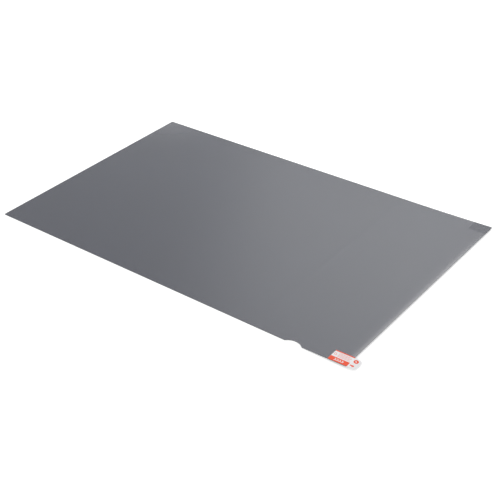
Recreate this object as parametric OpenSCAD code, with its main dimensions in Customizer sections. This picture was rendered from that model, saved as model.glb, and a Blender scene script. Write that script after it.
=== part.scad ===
// Monitor anti-glare filter: a thin tinted sheet with a clear liner on each
// face and a pull tab on each liner. All lengths are in millimetres.
//
// The origin is the middle of the flat underside, under the centre of the
// sheet. +X runs along the notched edge towards the printed tab, +Y away from
// the notched edge, and +Z up from the rear face to the front face.

/* [Sheet] */
// Length of the long edges
sheet_w = 518.4; // [300:0.1:700]
// Length of the short edges
sheet_d = 324; // [180:0.1:450]
// Thickness of the tinted sheet
sheet_t = 0.5; // [0.3:0.05:2]
// Radius of the four corners
corner_r = 1.5; // [0.5:0.1:8]

/* [Thumb notch] */
// Width of the notch where it leaves the edge
notch_w = 24; // [18:0.5:40]
// Depth of the notch into the sheet
notch_depth = 4.6; // [3:0.1:7]
// Radius of the soft lips on both sides of the notch
notch_lip_r = 3; // [1:0.5:5]
// Distance from the sheet's right end to the middle of the notch
notch_from_end = 65.5; // [55:0.1:120]

/* [Curl of the right end] */
// Height that the right edge has curled up from the table
curl_h = 1.6; // [1:0.1:5]
// Length of the sheet that has lifted off the table
curl_l = 110; // [80:1:180]

/* [Liners] */
// Thickness of each clear liner
liner_t = 0.08; // [0.05:0.01:0.2]

/* [Pull tabs] */
// Thickness of both tabs
tab_t = 0.1; // [0.06:0.01:0.2]
// Length of the front tab that is stuck down on the front liner
front_tab_grip = 22.5; // [18:0.1:28]
// Length of the front tab that stands out past the sheet's right edge
front_tab_reach = 10.5; // [9:0.5:25]
// Depth of the front tab, from the notched edge along the right edge
front_tab_d = 16.7; // [15:0.1:30]
// Radius of the front tab's two free corners
front_tab_r = 4.5; // [1:0.5:6]
// How far the front tab's free end hangs below a straight line
front_tab_droop = 1.4; // [0:0.1:1.6]
// Length of the back tab along the far long edge
back_tab_w = 23.5; // [15:0.5:28]
// Depth of the back tab along the right edge
back_tab_d = 17.2; // [12:0.1:30]

/* [Print: band and stripe] */
// Thickness of the ink
ink_t = 0.03; // [0.01:0.01:0.06]
// Height of the broad band along the tab's near side
band_h = 6.5; // [5:0.1:8]
// Height of the thin stripe along the tab's far side
stripe_h = 1.4; // [0.5:0.1:2]
// Length that the band and the stripe run on past the sheet's edge
print_past_edge = 0.7; // [0:0.1:1.5]
// Number of chevrons left open in the band
chevron_count = 4; // [2:1:5]
// Distance from one chevron to the next
chevron_pitch = 2.9; // [2:0.1:3.2]
// Height of a chevron
chevron_h = 3.6; // [2:0.1:4]
// Width of a chevron's stroke
chevron_stroke = 1.3; // [0.5:0.1:1.4]

/* [Print: small print] */
// Height of each fine bar that stands for a line of small print
bar_h = 0.4; // [0.3:0.05:1]
// Distance from one fine bar to the next
bar_pitch = 1.7; // [1.4:0.1:2.5]
// Length by which every second bar falls short of the others
bar_step = 1.4; // [0:0.1:6]
// Side of the peeling-corner mark in front of the bars
mark_side = 3; // [2:0.1:4]
// Width of the line that the mark is drawn with
mark_stroke = 0.4; // [0.3:0.05:0.6]
// Plain margin round the small print
print_margin = 1.5; // [0.5:0.1:2]

/* [Print: free end] */
// Diameter of the disc on the free end of the tab
disc_dia = 5.4; // [4:0.1:6]
// Diameter of the opening in the middle of the disc
disc_eye_dia = 1.8; // [1:0.1:2.5]
// Distance from the sheet's edge to the middle of the disc and the arrow
disc_out = 4.8; // [3.5:0.1:5.5]
// Distance from the tab's far side to the middle of the disc
disc_down = 5.1; // [4:0.1:6]
// Distance from the tab's near side to the middle of the arrow
arrow_up = 3.9; // [3:0.1:4.5]
// Length of the arrow
arrow_l = 5; // [3:0.1:6]
// Height of the arrow's head
arrow_h = 3.6; // [2:0.1:4]
// Height of the arrow's shaft
shaft_h = 1.6; // [0.6:0.1:1.9]

/* [Hidden] */

$fn = 96;

// Half of the sheet each way
half_w = sheet_w / 2;
half_d = sheet_d / 2;

// Heights of the faces between the layers, counted from the underside
rear_face = liner_t;
front_face = rear_face + sheet_t;
liner_top = front_face + liner_t;
tab_top = liner_top + tab_t;
ink_top = tab_top + ink_t;

// Length of the band and the stripe, from the tab's inner end
print_w = front_tab_grip + print_past_edge;

// How far a cutting shape runs past what it cuts
spare = 1;

// The curl and the tab's droop are parabolas, drawn with this many straight steps
curl_steps = 16;
droop_steps = 6;
curl_start = half_w - curl_l;
curl_slope_at_edge = 2 * curl_h / curl_l;

// Radius of the notch's arc, which meets both lips in a smooth line
notch_r = (pow(notch_w / 2, 2) + pow(notch_depth, 2)) / (2 * notch_depth) - notch_lip_r;
// Place of the arc's centre, counted from the edge into the sheet: it lies outside
notch_centre = notch_depth - notch_r;

// Height at which the underside lies at x: flat, then the parabola of the
// curl, and past the sheet's right edge on in its slope, less the tab's droop
function lift(x) =
    x <= curl_start ? 0 :
    x <= half_w ? curl_h * pow((x - curl_start) / curl_l, 2) :
    curl_h + curl_slope_at_edge * (x - half_w)
        - front_tab_droop * pow((x - half_w) / front_tab_reach, 2);

// The places along X where a layer bends
stations = concat(
    [-half_w - spare],
    [for (i = [0 : curl_steps]) curl_start + i * curl_l / curl_steps],
    [for (i = [1 : droop_steps]) half_w + i * front_tab_reach / droop_steps],
    [half_w + front_tab_reach + spare]);
last_station = len(stations) - 1;
highest_lift = max([for (x = stations) lift(x)]);

// One layer of the laminate between two heights, longer and deeper than the sheet
module curled_layer(low, high) {
    top_line = [for (x = stations) [x, lift(x) + high]];
    bottom_line = [for (i = [last_station : -1 : 0]) [stations[i], lift(stations[i]) + low]];
    rotate([90, 0, 0])
        linear_extrude(height = sheet_d + 2 * spare, center = true)
            polygon(concat(top_line, bottom_line));
}

// A flat outline made into a layer of the laminate between two heights
module laid_on(low, high) {
    below = tab_t + spare;
    above = highest_lift + ink_top + spare;
    intersection() {
        curled_layer(low, high);
        translate([0, 0, -below])
            linear_extrude(height = below + above)
                children();
    }
}

// The cut through the edge for a thumb, its mouth along y = 0
module thumb_notch() {
    // where the arc runs into the right lip
    share = notch_r / (notch_r + notch_lip_r);
    meet = [share * notch_w / 2, notch_centre + share * (notch_lip_r - notch_centre)];
    difference() {
        union() {
            translate([0, notch_centre])
                circle(r = notch_r);
            polygon([
                [-notch_w / 2, 0],
                [-meet[0], meet[1]],
                meet,
                [notch_w / 2, 0],
                [notch_w / 2, -spare],
                [-notch_w / 2, -spare]]);
        }
        for (side = [-1, 1])
            translate([side * notch_w / 2, notch_lip_r])
                circle(r = notch_lip_r);
    }
}

// The outline that the sheet and both liners are cut to in one go
module sheet_outline() {
    difference() {
        union() {
            square([sheet_w - 2 * corner_r, sheet_d], center = true);
            square([sheet_w, sheet_d - 2 * corner_r], center = true);
            for (side_x = [-1, 1], side_y = [-1, 1])
                translate([side_x * (half_w - corner_r), side_y * (half_d - corner_r)])
                    circle(r = corner_r);
        }
        translate([half_w - notch_from_end, -half_d])
            thumb_notch();
    }
}

// Tinted filter sheet
module filter_sheet() {
    color("#74767d")
        laid_on(rear_face, front_face)
            sheet_outline();
}

// Clear liner on the front face
module front_liner() {
    color("#84868d")
        laid_on(front_face, liner_top)
            sheet_outline();
}

// Clear liner on the rear face
module back_liner() {
    color("#6d7076")
        laid_on(0, rear_face)
            sheet_outline();
}

// What lies on the front tab is measured from the tab's inner near corner
module at_front_tab() {
    translate([half_w - front_tab_grip, -half_d])
        children();
}

// White sticker on the front liner, square where it grips and round at its free end
module front_pull_tab() {
    tab_w = front_tab_grip + front_tab_reach;
    color("#f4f4f2")
        laid_on(liner_top, tab_top)
            at_front_tab() {
                square([tab_w - front_tab_r, front_tab_d]);
                translate([0, front_tab_r])
                    square([tab_w, front_tab_d - 2 * front_tab_r]);
                for (y = [front_tab_r, front_tab_d - front_tab_r])
                    translate([tab_w - front_tab_r, y])
                        circle(r = front_tab_r);
            }
}

// One chevron that points along +X, with its back edge at x = 0 and its middle at y = 0
module chevron() {
    tip = chevron_h / 2;
    polygon([
        [0, -chevron_h / 2],
        [chevron_stroke, -chevron_h / 2],
        [chevron_stroke + tip, 0],
        [chevron_stroke, chevron_h / 2],
        [0, chevron_h / 2],
        [tip, 0]]);
}

// Broad band with a centred row of chevrons left open in it
module band() {
    row_w = (chevron_count - 1) * chevron_pitch + chevron_stroke + chevron_h / 2;
    difference() {
        square([print_w, band_h]);
        for (i = [0 : chevron_count - 1])
            translate([(print_w - row_w) / 2 + i * chevron_pitch, band_h / 2])
                chevron();
    }
}

// A square page with one corner peeled off, drawn smaller by an inset on every side
module peeling_corner(inset) {
    far = mark_side - inset;
    fold = mark_side / 2 - inset * tan(22.5);
    polygon([
        [inset, inset],
        [far, inset],
        [far, fold],
        [fold, far],
        [inset, far]]);
}

// Fine bars in place of small print, with an outlined mark of a peeling corner before them
module small_print() {
    block_h = front_tab_d - band_h - stripe_h;
    bar_start = 2 * print_margin + mark_side;
    bar_l = print_w - bar_start - print_margin;
    bar_count = floor((block_h - 2 * print_margin - bar_h) / bar_pitch) + 1;
    rows_h = (bar_count - 1) * bar_pitch + bar_h;
    translate([0, band_h + (block_h - rows_h) / 2])
        for (i = [0 : bar_count - 1])
            translate([bar_start, i * bar_pitch])
                square([bar_l - (i % 2) * bar_step, bar_h]);
    translate([print_margin, band_h + (block_h - mark_side) / 2])
        difference() {
            peeling_corner(0);
            peeling_corner(mark_stroke);
        }
}

// Disc with an open middle, and an arrow below it that points to the free end
module free_end_print() {
    translate([front_tab_grip + disc_out, front_tab_d - disc_down])
        difference() {
            circle(d = disc_dia);
            circle(d = disc_eye_dia);
        }
    translate([front_tab_grip + disc_out, arrow_up])
        polygon([
            [-arrow_l / 2, -shaft_h / 2],
            [0, -shaft_h / 2],
            [0, -arrow_h / 2],
            [arrow_l / 2, 0],
            [0, arrow_h / 2],
            [0, shaft_h / 2],
            [-arrow_l / 2, shaft_h / 2]]);
}

// Ink on the front tab
module front_tab_print() {
    color("#f26a4a")
        laid_on(tab_top, ink_top)
            at_front_tab() {
                band();
                translate([0, front_tab_d - stripe_h])
                    square([print_w, stripe_h]);
                small_print();
                free_end_print();
            }
}

// Sticker under the rear liner, cut flush with the sheet's far right corner
module back_pull_tab() {
    color("#b8b9ba")
        laid_on(-tab_t, 0)
            intersection() {
                sheet_outline();
                translate([half_w - back_tab_w, half_d - back_tab_d])
                    square([back_tab_w, back_tab_d]);
            }
}

filter_sheet();
front_liner();
back_liner();
front_pull_tab();
front_tab_print();
back_pull_tab();
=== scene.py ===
"""Monitor anti-glare filter: a tinted film between two clear liners, with a pull tab on each liner.

Lengths are in metres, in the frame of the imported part: X runs along the notched edge towards the
printed tab, Y away from the notched edge, and Z up from the table that the sheet lies on.
"""
import math

import bpy
import numpy as np
from mathutils import Matrix, Vector


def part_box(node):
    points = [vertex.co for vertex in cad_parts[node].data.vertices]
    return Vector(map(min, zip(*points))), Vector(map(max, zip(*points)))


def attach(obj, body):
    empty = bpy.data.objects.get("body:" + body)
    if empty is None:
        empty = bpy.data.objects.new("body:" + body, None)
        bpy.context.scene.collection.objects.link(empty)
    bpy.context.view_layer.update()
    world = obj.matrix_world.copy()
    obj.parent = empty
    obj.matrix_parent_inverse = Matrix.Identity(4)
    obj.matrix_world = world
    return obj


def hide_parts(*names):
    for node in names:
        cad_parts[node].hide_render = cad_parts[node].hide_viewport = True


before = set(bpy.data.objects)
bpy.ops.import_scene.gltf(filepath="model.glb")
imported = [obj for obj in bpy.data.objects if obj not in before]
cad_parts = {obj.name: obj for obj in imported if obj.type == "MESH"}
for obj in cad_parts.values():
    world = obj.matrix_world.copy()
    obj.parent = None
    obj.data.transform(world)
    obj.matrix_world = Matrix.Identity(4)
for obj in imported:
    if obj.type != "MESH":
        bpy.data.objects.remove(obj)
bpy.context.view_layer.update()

# Filter sheet
# The real piece is a stiff tinted PET laminate, 0.5 mm thick, with a matt anti-glare coat. It is
# die-cut to the screen's size with a thumb notch in one long edge, and its right end has curled up
# a little from the table after it was unrolled.

sheet_low, sheet_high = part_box("filter_sheet")
half_w = sheet_high.x
half_d = sheet_high.y
rear_face = sheet_low.z
front_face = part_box("front_liner")[0].z
curl_h = sheet_high.z - front_face
curl_l = 0.110
corner_r = 0.0015
tab_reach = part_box("front_pull_tab")[1].x - half_w
tab_droop = 0.0014
notch_w = 0.024
notch_depth = 0.0046
notch_lip_r = 0.003
notch_x = half_w - 0.0655
# Painted light on the film: a pale band at the curled right edge, a pale sheen at the far left corner.
edge_light_w = 0.009
edge_light_fade = 0.060
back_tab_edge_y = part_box("back_pull_tab")[0].y
corner_sheen_r = 0.100
corner_sheen_level = 0.336


def lift(x):
    """Height of the underside over the table: zero on the flat part, a parabola that rises to curl_h
    over the last curl_l, and past the right edge its slope goes on less the droop of the tab."""
    along = np.clip((x - (half_w - curl_l)) / curl_l, 0, 1)
    past = np.maximum(x - half_w, 0)
    return curl_h * along**2 + 2 * curl_h / curl_l * past - tab_droop * (past / tab_reach) ** 2


def round_corner(from_end, radius):
    """How far a corner's arc stands back from the side, where from_end is the distance from the end:
    radius less the height of a circle of that radius."""
    inside = np.clip(radius - from_end, 0, radius)
    return radius - np.sqrt(radius**2 - inside**2)


def notch(x):
    """Depth of the thumb notch at x: one arc whose ends run into the smaller arcs of the two lips."""
    arc_r = ((notch_w / 2) ** 2 + notch_depth**2) / (2 * notch_depth) - notch_lip_r
    centre = notch_depth - arc_r
    off = np.abs(x - notch_x)
    meet = arc_r / (arc_r + notch_lip_r) * notch_w / 2
    arc = centre + np.sqrt(np.maximum(arc_r**2 - off**2, 0))
    lip = notch_lip_r - np.sqrt(np.maximum(notch_lip_r**2 - (notch_w / 2 - off) ** 2, 0))
    return np.where(off < meet, arc, np.where(off < notch_w / 2, lip, 0))


def near_side(x):
    """The sheet's notched side: a straight line with a rounded corner at each end and the notch."""
    return -half_d + round_corner(half_w - np.abs(x), corner_r) + notch(x)


def far_side(x):
    """The sheet's plain long side, with a rounded corner at each end."""
    return half_d - round_corner(half_w - np.abs(x), corner_r)


def arc_steps(start, length, count=10):
    """Places along X that follow a quarter circle from its steep end at start to its level end."""
    return start + length * (1 - np.cos(np.linspace(0, math.pi / 2, count)))


def layer(name, along_x, near, far, low, high, rows):
    """Closed shell of one layer. A point of its upper and lower face is at x and at near(x) plus a
    share of the way to far(x), at the height lift(x) plus high or low. One band of faces, with the
    second material, closes the rim all round."""
    x, share = np.meshgrid(along_x, np.linspace(0, 1, rows), indexing="ij")
    y = near(x) + share * (far(x) - near(x))
    upper = np.stack([x, y, lift(x) + high], axis=-1).reshape(-1, 3)
    lower = np.stack([x, y, lift(x) + low], axis=-1).reshape(-1, 3)
    index = np.arange(x.size).reshape(x.shape)
    face = np.stack([index[:-1, :-1], index[1:, :-1], index[1:, 1:], index[:-1, 1:]], axis=-1)
    face = face.reshape(-1, 4)
    ring = np.concatenate([index[:-1, 0], index[-1, :-1], index[:0:-1, -1], index[0, :0:-1]])
    after = np.roll(ring, -1)
    rim = np.stack([ring + x.size, after + x.size, after, ring], axis=-1)
    mesh = bpy.data.meshes.new(name)
    points = np.concatenate([upper, lower])
    faces = np.concatenate([face, face[:, ::-1] + x.size, rim])
    mesh.from_pydata(points.tolist(), [], faces.tolist())
    kind = np.zeros(len(faces), dtype=np.int32)
    kind[-len(rim):] = 1
    mesh.polygons.foreach_set("material_index", kind)
    mesh.polygons.foreach_set("use_smooth", np.ones(len(faces), dtype=bool))
    mesh.set_sharp_from_angle(angle=math.radians(30))
    piece = bpy.data.objects.new(name, mesh)
    bpy.context.scene.collection.objects.link(piece)
    return piece


def linear(code):
    """Turns an sRGB hex colour into the linear RGBA that the shaders work in."""
    value = np.array([int(code[i:i + 2], 16) for i in (1, 3, 5)]) / 255
    value = np.where(value <= 0.04045, value / 12.92, ((value + 0.055) / 1.055) ** 2.4)
    return (*value.tolist(), 1.0)


def new_material(name):
    """An empty material, given with its node tree."""
    made = bpy.data.materials.new(name)
    made.use_nodes = True
    made.node_tree.nodes.clear()
    return made, made.node_tree


def add(tree, kind, inputs, **settings):
    """Adds a node with its settings. Each input is linked where it is given as another node's output,
    and set where it is given as a number or a colour."""
    node = tree.nodes.new(kind)
    for key, value in settings.items():
        setattr(node, key, value)
    for key, value in inputs.items():
        if isinstance(value, bpy.types.NodeSocket):
            tree.links.new(value, node.inputs[key])
        else:
            node.inputs[key].default_value = value
    return node


def tinted_pet():
    """Tinted PET with a matt coat: a dark slate film that passes about a third of the light at each
    face, with a soft sheen, and whose tint drifts a little over 90 mm. The coat's grain is a few
    hundredths of a millimetre, and it is drawn at 1.2 mm so that it shows. Along the curled right
    edge the last 9 mm are painted paler: painted light that stands for the light which reaches the
    table under the lifted edge. It fades out over the 60 mm before the back tab, which keeps that
    light off. The far left corner has a pale painted sheen too, which is gone 100 mm from the corner."""
    material, tree = new_material("tinted PET film")
    place = add(tree, "ShaderNodeTexCoord", {}).outputs["Object"]
    axes = add(tree, "ShaderNodeSeparateXYZ", {"Vector": place})
    # Painted light: the film is painted paler over the last 9 mm of the curled right edge, up to the back
    # tab.
    near_right_edge = add(tree, "ShaderNodeMapRange", {
        "Value": axes.outputs["X"], "From Min": half_w - edge_light_w, "From Max": half_w})
    curve = add(tree, "ShaderNodeMath", {0: near_right_edge.outputs["Result"], 1: 2.0}, operation="POWER")
    before_back_tab = add(tree, "ShaderNodeMapRange", {
        "Value": axes.outputs["Y"], "From Min": back_tab_edge_y, "From Max": back_tab_edge_y - edge_light_fade})
    painted_edge_light = add(tree, "ShaderNodeMath", {0: curve.outputs[0], 1: before_back_tab.outputs["Result"]},
                    operation="MULTIPLY")
    # Painted sheen: the film is painted paler near the far left corner, fading out over 100 mm.
    away = add(tree, "ShaderNodeVectorMath", {0: place, 1: (-half_w, half_d, front_face)},
               operation="DISTANCE")
    near_corner = add(tree, "ShaderNodeMapRange", {
        "Value": away.outputs["Value"], "From Min": corner_sheen_r, "From Max": 0.0})
    painted_corner_sheen = add(tree, "ShaderNodeMath", {0: near_corner.outputs["Result"], 1: 2.0},
                operation="POWER")
    # Both painted lights together, as the share of the pale colour mixed into the tint.
    painted_light = add(tree, "ShaderNodeMath", {
        0: painted_corner_sheen.outputs[0], 1: corner_sheen_level, 2: painted_edge_light.outputs[0]}, operation="MULTIPLY_ADD")
    grain = add(tree, "ShaderNodeTexNoise", {"Vector": place, "Scale": 1 / 0.0012, "Detail": 2.0})
    cloud = add(tree, "ShaderNodeTexNoise", {"Vector": place, "Scale": 1 / 0.09, "Detail": 1.0})
    tint = add(tree, "ShaderNodeMix", {"Factor": cloud.outputs["Fac"], "A": linear("#242a3e"),
                                       "B": linear("#293046")}, data_type="RGBA")
    painted_light_tint = add(tree, "ShaderNodeMix", {"Factor": painted_light.outputs[0], "A": tint.outputs["Result"],
                                       "B": linear("#939498")}, data_type="RGBA")
    rough = add(tree, "ShaderNodeMapRange", {
        "Value": grain.outputs["Fac"], "To Min": 0.31, "To Max": 0.37})
    bump = add(tree, "ShaderNodeBump", {
        "Height": grain.outputs["Fac"], "Strength": 0.06, "Distance": 0.0002})
    coat = add(tree, "ShaderNodeBsdfPrincipled", {
        "Base Color": painted_light_tint.outputs["Result"], "Roughness": rough.outputs["Result"], "IOR": 1.5,
        "Alpha": 0.68, "Normal": bump.outputs["Normal"]})
    add(tree, "ShaderNodeOutputMaterial", {"Surface": coat.outputs["BSDF"]})
    return material


def cut_pet():
    """The laminate's die-cut edge: the dyed adhesive between the films makes it dark grey, and it is
    paler where the knife has nicked it, every 2 mm or so."""
    material, tree = new_material("die-cut PET edge")
    place = add(tree, "ShaderNodeTexCoord", {}).outputs["Object"]
    nicks = add(tree, "ShaderNodeTexNoise", {"Vector": place, "Scale": 1 / 0.002, "Detail": 2.0})
    tint = add(tree, "ShaderNodeMix", {"Factor": nicks.outputs["Fac"], "A": linear("#2a2c30"),
                                       "B": linear("#4a4d53")}, data_type="RGBA")
    edge = add(tree, "ShaderNodeBsdfPrincipled", {
        "Base Color": tint.outputs["Result"], "Roughness": 0.5})
    add(tree, "ShaderNodeOutputMaterial", {"Surface": edge.outputs["BSDF"]})
    return material


corner_x = arc_steps(-half_w, corner_r)
notch_start = notch_x - notch_w / 2
sheet_x = np.unique(np.round(np.concatenate([
    corner_x, -corner_x,
    np.linspace(-half_w + corner_r, half_w - curl_l, 32),
    np.linspace(half_w - curl_l, half_w - corner_r, 40),
    notch_start + notch_w * (1 - np.cos(np.linspace(0, math.pi, 49))) / 2,
]), 8))
sheet_rows = 33

film = layer("filter_sheet_film", sheet_x, near_side, far_side, rear_face, front_face, sheet_rows)
film.data.materials.append(tinted_pet())
film.data.materials.append(cut_pet())
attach(film, "root")
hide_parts("filter_sheet")

# Liners
# A clear, soft PE film covers each face of the sheet until it is used. It holds by static cling,
# is cut together with the sheet, and is 0.08 mm thick. Of that, 0.012 mm is left to the air that
# lies between it and the sheet, so that no two faces share a place.

cling_gap = 0.000012
liner_t = rear_face


def clear_pe(name):
    """Clear PE film: it passes nearly all light and adds a faint haze to what is seen through it.
    Its shine varies in the streaks of blown film, which run along it 6 mm apart."""
    material, tree = new_material(name)
    place = add(tree, "ShaderNodeTexCoord", {}).outputs["Object"]
    streak = add(tree, "ShaderNodeMapping", {"Vector": place, "Scale": (0.1, 1.0, 1.0)})
    haze = add(tree, "ShaderNodeTexNoise", {"Vector": streak.outputs["Vector"], "Scale": 1 / 0.006,
                                            "Detail": 2.0})
    rough = add(tree, "ShaderNodeMapRange", {
        "Value": haze.outputs["Fac"], "To Min": 0.22, "To Max": 0.32})
    film_side = add(tree, "ShaderNodeBsdfPrincipled", {
        "Base Color": linear("#c9ccd2"), "Roughness": rough.outputs["Result"], "IOR": 1.5,
        "Alpha": 0.02})
    add(tree, "ShaderNodeOutputMaterial", {"Surface": film_side.outputs["BSDF"]})
    return material


for liner_name, node_name, low, high in [
        ("front_liner_film", "front_liner", front_face + cling_gap, front_face + liner_t),
        ("back_liner_film", "back_liner", 0.0, rear_face - cling_gap)]:
    liner = layer(liner_name, sheet_x, near_side, far_side, low, high, sheet_rows)
    liner.data.materials.append(clear_pe("clear PE film"))
    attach(liner, "root")
    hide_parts(node_name)

# Front pull tab
# A white coated label, 0.1 mm thick, die-cut with two round corners. It is stuck to the front
# liner, square at the sheet's corner, and its free end hangs over the edge for a finger to take.

tab_low, tab_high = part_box("front_pull_tab")
tab_t = 0.0001
tab_r = 0.0045
tab_base = front_face + liner_t
tab_rows = 17


def tab_near(x):
    """The tab's near side, with the free end's rounded corner."""
    return tab_low.y + round_corner(tab_high.x - x, tab_r)


def tab_far(x):
    """The tab's far side, with the free end's rounded corner."""
    return tab_high.y - round_corner(tab_high.x - x, tab_r)


def label_stock(name, face, shade):
    """Coated label stock: a smooth, faintly uneven sheet of clay-coated paper with a dull shine. Its
    fibres are about 0.05 mm wide, and they are drawn at 0.4 mm so that they show."""
    material, tree = new_material(name)
    place = add(tree, "ShaderNodeTexCoord", {}).outputs["Object"]
    fibre = add(tree, "ShaderNodeTexNoise", {"Vector": place, "Scale": 1 / 0.0004, "Detail": 3.0})
    tint = add(tree, "ShaderNodeMix", {"Factor": fibre.outputs["Fac"], "A": linear(shade),
                                       "B": linear(face)}, data_type="RGBA")
    bump = add(tree, "ShaderNodeBump", {
        "Height": fibre.outputs["Fac"], "Strength": 0.1, "Distance": 0.00005})
    paper = add(tree, "ShaderNodeBsdfPrincipled", {
        "Base Color": tint.outputs["Result"], "Roughness": 0.55, "Normal": bump.outputs["Normal"]})
    add(tree, "ShaderNodeOutputMaterial", {"Surface": paper.outputs["BSDF"]})
    return material


tab_x = np.concatenate([
    np.linspace(tab_low.x, half_w, 24)[:-1],
    np.linspace(half_w, tab_high.x - tab_r, 14)[:-1],
    tab_high.x + tab_low.x - arc_steps(tab_low.x, tab_r, 16)[::-1],
])
tab = layer("front_pull_tab_label", tab_x, tab_near, tab_far, tab_base + cling_gap,
            tab_base + tab_t, tab_rows)
tab.data.materials.append(label_stock("white coated label", "#fdfcfd", "#f6f5f6"))
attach(tab, "root")
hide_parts("front_pull_tab")

# Print on the front tab
# One coral ink on the white label: a band with open chevrons, a stripe, fine bars in the place of
# small print, a disc and an arrow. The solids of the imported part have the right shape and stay.


def coral_ink():
    """Offset ink: an even coat with a soft shine, a little thinner in spots about 1.5 mm apart."""
    material, tree = new_material("coral offset ink")
    place = add(tree, "ShaderNodeTexCoord", {}).outputs["Object"]
    coat = add(tree, "ShaderNodeTexNoise", {"Vector": place, "Scale": 1 / 0.0015, "Detail": 2.0})
    tint = add(tree, "ShaderNodeMix", {"Factor": coat.outputs["Fac"], "A": linear("#fb5029"),
                                       "B": linear("#ff5e36")}, data_type="RGBA")
    ink = add(tree, "ShaderNodeBsdfPrincipled", {
        "Base Color": tint.outputs["Result"], "Roughness": 0.6, "Specular IOR Level": 0.35})
    add(tree, "ShaderNodeOutputMaterial", {"Surface": ink.outputs["BSDF"]})
    return material


print_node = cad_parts["front_tab_print"]
print_node.data.materials.clear()
print_node.data.materials.append(coral_ink())

# Back pull tab
# The rear liner has its own plain label under the far right corner, cut flush with the sheet. It is
# seen through the tinted film as a darker patch, because it keeps the light off the table under it.
# Its grey colour is partly painted shade, which makes that patch darker still.

back_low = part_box("back_pull_tab")[0]
back_rows = 13


def back_near(x):
    """The back tab's straight side, the same for every x."""
    return np.full_like(x, back_low.y)


back_x = np.concatenate([
    np.linspace(back_low.x, half_w - corner_r, 24)[:-1],
    -corner_x[::-1],
])
back_tab = layer("back_pull_tab_label", back_x, back_near, far_side, -tab_t, -cling_gap,
                 back_rows)
# The label's grey is partly painted shade over the patch that it darkens.
back_tab.data.materials.append(label_stock("label grey as painted shade", "#97989a", "#8f9092"))
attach(back_tab, "root")
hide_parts("back_pull_tab")

# Floor
# A plain white table, 0.02 mm below the liner so that the two never share a place. Its own colour
# is lit and shaded by the lamps, and a small glow that only sight rays meet keeps it white up to
# the picture's edge.

floor_size = 40.0
floor_z = -0.00002
glow_level = 0.45
floor_mesh = bpy.data.meshes.new("floor")
floor_points = [(-floor_size, -floor_size, floor_z), (floor_size, -floor_size, floor_z),
                (floor_size, floor_size, floor_z), (-floor_size, floor_size, floor_z)]
floor_mesh.from_pydata(floor_points, [], [(0, 1, 2, 3)])
floor = bpy.data.objects.new("floor", floor_mesh)
bpy.context.scene.collection.objects.link(floor)


def seen_directly(tree):
    """1 on a ray of sight, also one by way of a mirror or glass, and 0 on a ray that carries light."""
    path = add(tree, "ShaderNodeLightPath", {})
    open_or_mirrored = add(tree, "ShaderNodeMath", {
        0: path.outputs["Is Camera Ray"], 1: path.outputs["Is Glossy Ray"]}, operation="MAXIMUM")
    any_sight = add(tree, "ShaderNodeMath", {
        0: open_or_mirrored.outputs[0], 1: path.outputs["Is Transmission Ray"]}, operation="MAXIMUM")
    return any_sight.outputs[0]


floor_material, floor_tree = new_material("white table")
floor_glow = add(floor_tree, "ShaderNodeMath", {0: seen_directly(floor_tree), 1: glow_level},
                 operation="MULTIPLY")
floor_paint = add(floor_tree, "ShaderNodeBsdfDiffuse", {"Color": linear("#fafafa")})
floor_light = add(floor_tree, "ShaderNodeEmission", {"Strength": floor_glow.outputs[0]})
floor_sum = add(floor_tree, "ShaderNodeAddShader", {0: floor_paint.outputs[0], 1: floor_light.outputs[0]})
add(floor_tree, "ShaderNodeOutputMaterial", {"Surface": floor_sum.outputs[0]})
floor_mesh.materials.append(floor_material)

# Light
# A soft white surround, and a softbox behind the far long side, brighter at its core, whose
# reflection gives the film its sheen towards the right end. A small low one lifts the far left
# corner.

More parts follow.
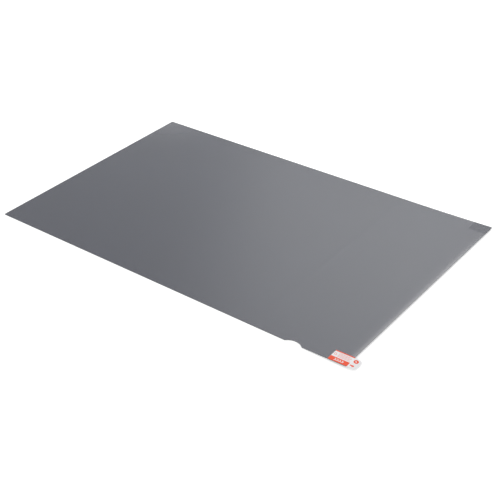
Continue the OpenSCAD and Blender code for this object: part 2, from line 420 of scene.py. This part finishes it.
world = bpy.data.worlds.new("soft white surround")
world.use_nodes = True
world.node_tree.nodes.clear()
bpy.context.scene.world = world
surround = 0.62
world_level = add(world.node_tree, "ShaderNodeMapRange", {
    "Value": seen_directly(world.node_tree), "To Min": surround, "To Max": 1.0})
world_light = add(world.node_tree, "ShaderNodeBackground", {
    "Color": linear("#ffffff"), "Strength": world_level.outputs["Result"]})
add(world.node_tree, "ShaderNodeOutputWorld", {"Surface": world_light.outputs[0]})


def softbox(name, azimuth, elevation, distance, width, height, radiance):
    """A rectangular lamp that faces the sheet's middle, seen from there at an azimuth that counts
    from +Y towards -X. Its power follows from its area and its radiance: power is pi times both."""
    a = math.radians(azimuth)
    e = math.radians(elevation)
    towards = Vector((-math.sin(a) * math.cos(e), math.cos(a) * math.cos(e), math.sin(e)))
    lamp = bpy.data.lights.new(name, "AREA")
    lamp.shape = "RECTANGLE"
    lamp.size = width
    lamp.size_y = height
    lamp.energy = math.pi * width * height * radiance
    box = bpy.data.objects.new(name, lamp)
    box.location = towards * distance
    box.rotation_mode = "QUATERNION"
    box.rotation_quaternion = (-towards).to_track_quat("-Z", "Y")
    box.visible_camera = False
    bpy.context.scene.collection.objects.link(box)
    return box


softbox("sheen", 15, 42, 1.5, 1.15, 1.0, 2.33)
softbox("sheen core", 12, 40, 1.45, 0.45, 0.8, 0.7)
softbox("low sheen", 46, 12, 1.7, 0.5, 0.3, 1.2)

# Camera
# It stands beyond the near right corner and looks down at the middle of the sheet, from the
# photograph's angle and with a slight roll.

camera_place = Vector((0.68266, -0.83990, 0.66460))
camera_aim = Vector((0.04725, -0.04611, 0.0))
camera_roll = -1.80
camera_data = bpy.data.cameras.new("camera")
camera_data.sensor_width = 36.0
camera_data.lens = 73.31
camera = bpy.data.objects.new("camera", camera_data)
bpy.context.scene.collection.objects.link(camera)
sight = (camera_aim - camera_place).normalized()
camera.rotation_mode = "QUATERNION"
camera.location = camera_place
level = sight.to_track_quat("-Z", "Y")
camera.rotation_quaternion = level @ Matrix.Rotation(math.radians(camera_roll), 3, "Z").to_quaternion()
bpy.context.scene.camera = camera

# A sight line and a lamp's ray each pass six faces of film, so more clear faces are let through
# than by default, and no path is dropped among the first twelve, which lessens the film's grain.
bpy.context.scene.cycles.transparent_max_bounces = 32
bpy.context.scene.cycles.min_transparent_bounces = 12
bpy.context.scene.view_settings.view_transform = "Standard"
